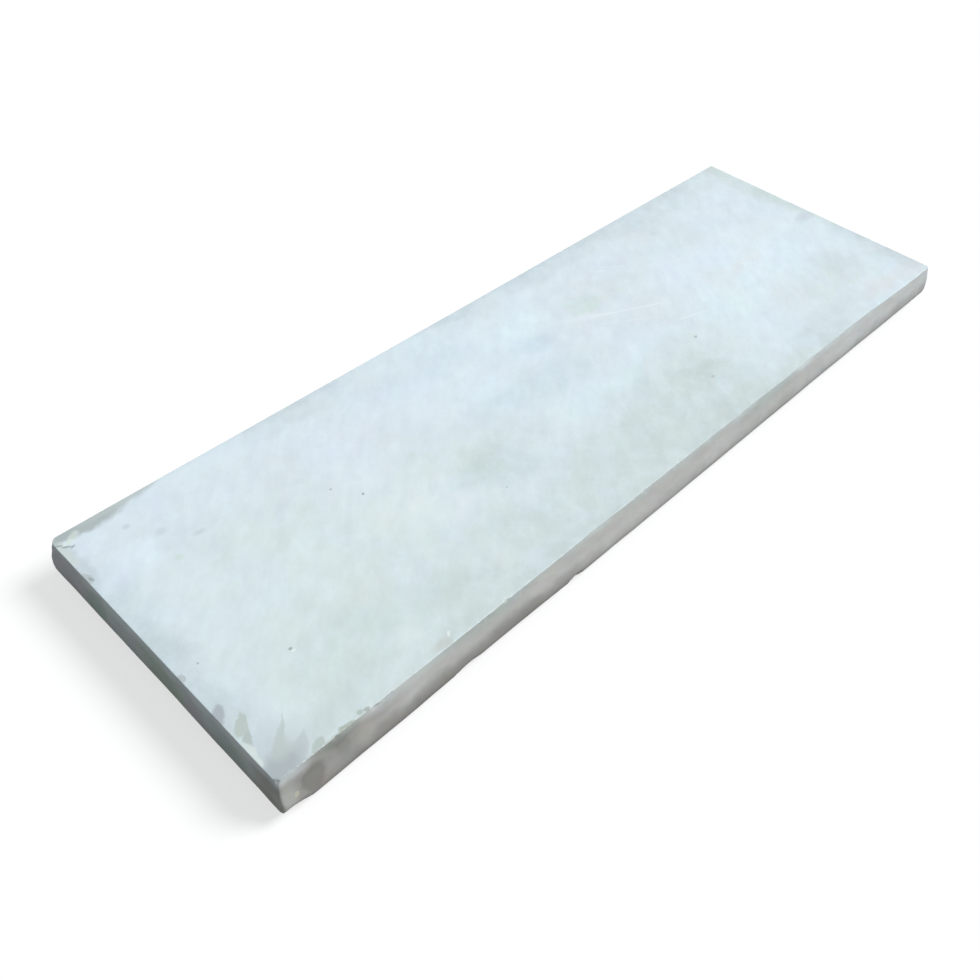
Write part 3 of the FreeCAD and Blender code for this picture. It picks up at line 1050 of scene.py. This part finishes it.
@dataclass(frozen=True)
class CastConcrete:
    """The slab's finish: pale cast concrete, bluish on top and greyer below."""

    name: str = "cast_concrete"
    slot: str = "concrete"
    face: Triple = linear("DCEAF1")
    flank: Triple = linear("CECFCC")
    painted_light_shoulder: Triple = linear("D2DDDC")
    # Painted light: the top band of each side is lightened as if it faced more towards the light.
    foot: Triple = linear("9E9E9B")
    # Painted shade: the sides are darkened towards the foot, where the rolled arris turns away from
    # the light.
    end: Triple = linear("C9D2D0")
    arris: Triple = linear("EDF3EE")
    scratch: Triple = linear("EBF4F6")
    face_span: Pair = (49.1 * MM, 49.7 * MM)
    streak_turn: float = math.radians(45)
    roughness: float = 0.78
    roughness_swing: float = 0.16
    specular: float = 0.3
    bump_strength: float = 0.35
    bump_height: float = 0.25 * MM

    def build(self) -> bpy.types.Material:
        """Make the material.

        Returns:
            The concrete, reading Object coordinates in metres.
        """
        material = bpy.data.materials.new(self.name)
        material.use_nodes = True
        board = Board(material.node_tree)
        place = board.node("ShaderNodeTexCoord").output("Object")
        top = place.part(2).ramp(*self.face_span)
        colour = board.blend(top, self.flank_colour(board, place), self.face_colour(board, place))
        cloud = board.noise(place, 14 * MM, 3.0, seed=5.0)
        rough = self.roughness + (cloud - 0.5) * self.roughness_swing
        grain = board.noise(place, 6 * MM, 4.0, 0.6, seed=9.0)
        relief = {"Strength": self.bump_strength, "Distance": self.bump_height, "Height": grain}
        bump = board.node("ShaderNodeBump", {}, relief)
        shader = board.node(
            "ShaderNodeBsdfPrincipled",
            {},
            {
                "Base Color": colour,
                "Roughness": rough,
                "Normal": bump.output(),
                "Specular IOR Level": self.specular,
            },
        )
        board.node("ShaderNodeOutputMaterial", {}, {"Surface": shader.output()})
        return material

    def face_colour(self, board: Board, place: Wire) -> Wire:
        """Return the walking face's colour.

        Args:
            board: The material.
            place: The position, in metres.

        Returns:
            Pale blue-grey with its clouds, stains, pinholes and scratches.
        """
        coarse = board.drift(place, 70 * MM, 60 * MM, 1.0)
        wide = board.drift(coarse, 14 * MM, 18 * MM, 2.0)
        torn = board.drift(place, 9 * MM, 8 * MM, 3.0)
        near = board.drift(place, 3 * MM, 1.4 * MM, 4.0)
        patch = board.noise(place, 18 * MM, 4.0, 0.65, seed=14.0).ramp(0.34, 0.62) * 0.45 + 0.58
        colour = lay_patches(self.face, FACE_STAINS, Side.FACE, wide, patch)
        colour = self.mottled(board, place, colour)
        colour = lay_patches(colour, CORNER_STAINS, Side.FACE, torn)
        colour = lay_patches(colour, SMALL_STAINS, Side.FACE, near)
        for scratch in SCRATCHES:
            colour = board.blend(scratch.mask(near), colour, self.scratch)
        rim = place.part(1).ramp(-144.0 * MM, -145.4 * MM) * place.part(0).ramp(300 * MM, -300 * MM)
        flecks = board.noise(place, 5 * MM, 3.0, 0.6, seed=31.0).ramp(0.5, 0.62)
        return board.blend(rim * flecks * 0.7, colour, self.arris)

    def mottled(self, board: Board, place: Wire, colour: Wire) -> Wire:
        """Return a colour with the concrete's cloudy changes of tone and tint.

        Args:
            board: The material.
            place: The position, in metres.
            colour: The colour before.

        Returns:
            The colour, a little lighter or darker and greener or bluer in clouds.
        """
        trowelled = (0.0, 0.0, self.streak_turn)
        along = board.turned(place, (0.0, 0.0, 0.0), trowelled, (2.6, 1.0, 1.0), "streaks")
        tone = board.noise(place, 24 * MM, 5.0, 0.66, seed=8.0, distortion=0.5) - 0.5
        tint = board.noise(place, 42 * MM, 4.0, 0.5, seed=17.0) - 0.5
        streak = board.noise(along, 9 * MM, 3.0, 0.6, seed=19.0) - 0.5
        green = board.noise(along, 12 * MM, 4.0, 0.7, seed=29.0) - 0.5
        level = 1.0 + tone * 0.15 + streak * 0.18
        return colour * board.triple(level - tint * 0.06, level + green * 0.1, level + tint * 0.09)

    def flank_colour(self, board: Board, place: Wire) -> Wire:
        """Return the colour of the sides and the back.

        Args:
            board: The material.
            place: The position, in metres.

        Returns:
            Warm grey with painted light along the top and painted shade that darkens it towards the
            foot, duller on the left end.
        """
        x, y, z = place.part(0), place.part(1), place.part(2)
        wide = board.drift(place, 22 * MM, 16 * MM, 11.0)
        colour = board.blend(x.ramp(-440 * MM, -446 * MM), self.flank, self.end)
        # Painted light: the top band of each side is lightened as if it caught more light.
        colour = board.blend(wide.part(2).ramp(38 * MM, 51 * MM, top=0.7), colour, self.painted_light_shoulder)
        # Painted shade: the sides darken towards the foot.
        colour = board.blend(wide.part(2).ramp(33 * MM, 12 * MM, top=0.55), colour, self.foot)
        on_front, on_end = y.ramp(-110 * MM, -132 * MM), x.ramp(-410 * MM, -432 * MM)
        colour = lay_patches(colour, FRONT_STAINS_AND_PAINTED_SHADING, Side.FRONT, wide, on_front)
        colour = lay_patches(colour, END_STAINS_AND_PAINTED_LIGHT, Side.LEFT_END, wide, on_end)
        slant = (0.0, self.streak_turn / 2, 0.0)
        slanted = board.turned(place, (0.0, 0.0, 0.0), slant, (1.8, 1.8, 1.0), "slant")
        tone = board.noise(slanted, 11 * MM, 4.0, 0.6, seed=23.0, distortion=0.6) - 0.5
        tint = board.noise(slanted, 13 * MM, 3.0, 0.6, seed=27.0) - 0.5
        green = board.noise(slanted, 9 * MM, 3.0, 0.6, seed=33.0) - 0.5
        level = 1.0 + tone * 0.3
        return colour * board.triple(level + tint * 0.09, level + green * 0.16, level - tint * 0.09)


@dataclass
class Stage:
    """The camera, the lamps and the pale floor that the slab lies on."""

    camera_place: Triple = (-598.35 * MM, -455.38 * MM, 673.84 * MM)
    camera_forward: Triple = (0.51511, 0.46333, -0.7211)
    camera_up: Triple = (0.49564, 0.52537, 0.69161)
    focal_pixels: float = 1020.5
    frame_pixels: float = 980.0
    sensor: float = 36.0
    key_from: Triple = (0.55, -0.375, 0.75)
    key_strength: float = 3.05
    key_spread: float = math.radians(25)
    sky: Triple = (0.25, 0.263, 0.272)
    floor_size: float = 14.0
    floor_tone: Triple = (0.22, 0.22, 0.22)
    floor_seen_tone: Triple = (0.36, 0.36, 0.36)
    floor_glow: float = 0.66
    white: Triple = (1.0, 1.0, 1.0)

    def build(self) -> None:
        """Place everything that isn't the slab."""
        self.place_camera()
        self.light()
        self.lay_floor()

    def place_camera(self) -> None:
        """Stand the camera where the slab's corners fall as they do in the photo."""
        data = bpy.data.cameras.new("view")
        data.sensor_width = self.sensor
        data.lens = self.focal_pixels * self.sensor / self.frame_pixels
        data.clip_end = 100.0
        camera = bpy.data.objects.new("view", data)
        back = -Vector(self.camera_forward).normalized()
        right = Vector(self.camera_up).cross(back).normalized()
        turn = Matrix((right, back.cross(right), back)).transposed()
        camera.matrix_world = Matrix.Translation(Vector(self.camera_place)) @ turn.to_4x4()
        bpy.context.scene.collection.objects.link(camera)
        bpy.context.scene.camera = camera

    def light(self) -> None:
        """Add a broad soft key from the right and an even pale sky."""
        lamp = bpy.data.lights.new("key", "SUN")
        lamp.energy = self.key_strength
        lamp.angle = self.key_spread
        key = bpy.data.objects.new("key", lamp)
        key.rotation_mode = "QUATERNION"
        key.rotation_quaternion = Vector(self.key_from).to_track_quat("Z", "Y")
        bpy.context.scene.collection.objects.link(key)
        world = bpy.data.worlds.new("sky")
        world.use_nodes = True
        bpy.context.scene.world = world
        board = Board(world.node_tree)
        seen = self.seen_directly(board)
        colour = board.blend(seen, self.sky, self.white)
        sky = board.node("ShaderNodeBackground", {}, {"Color": colour, "Strength": 1.0})
        board.node("ShaderNodeOutputWorld", {}, {"Surface": sky.output()})

    @staticmethod
    def seen_directly(board: Board) -> Wire:
        """Tell the rays that show the ground from those that light the slab.

        Args:
            board: The material.

        Returns:
            1 for rays from the camera, in a mirror or through glass, else 0.
        """
        path = board.node("ShaderNodeLightPath")
        seen = path.output("Is Camera Ray") + path.output("Is Glossy Ray")
        return (seen + path.output("Is Transmission Ray")).clamp()

    def lay_floor(self) -> None:
        """Lay a plain pale floor that keeps the slab's shadow."""
        half = self.floor_size / 2
        mesh = bpy.data.meshes.new("floor")
        corners = [(-half, -half, 0.0), (half, -half, 0.0), (half, half, 0.0), (-half, half, 0.0)]
        mesh.from_pydata(corners, [], [(0, 1, 2, 3)])
        floor = bpy.data.objects.new("floor", mesh)
        bpy.context.scene.collection.objects.link(floor)
        material = bpy.data.materials.new("pale_floor")
        material.use_nodes = True
        board = Board(material.node_tree)
        seen = self.seen_directly(board)
        colour = board.blend(seen, self.floor_tone, self.floor_seen_tone)
        matt = board.node("ShaderNodeBsdfDiffuse", {}, {"Color": colour})
        light = {"Color": (*self.white, 1.0), "Strength": seen * self.floor_glow}
        glow = board.node("ShaderNodeEmission", {}, light)
        both = board.node("ShaderNodeAddShader", {}, {0: matt.output(), 1: glow.output()})
        board.node("ShaderNodeOutputMaterial", {}, {"Surface": both.output()})
        mesh.materials.append(material)


def main() -> None:
    """Build the slab, dress it and stage it."""
    logging.basicConfig(level=logging.INFO, format="%(message)s")
    bpy.context.scene.view_settings.view_transform = "Standard"
    Stage().build()
    finish = CastConcrete()
    slab = CastSlab()
    piece = slab.build(finish.build())
    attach(piece, "root")
    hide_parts(slab.node)
    piece.data.calc_loop_triangles()
    LOG.info("%s: %d triangles", piece.name, len(piece.data.loop_triangles))


if __name__ == "__main__":
    main()
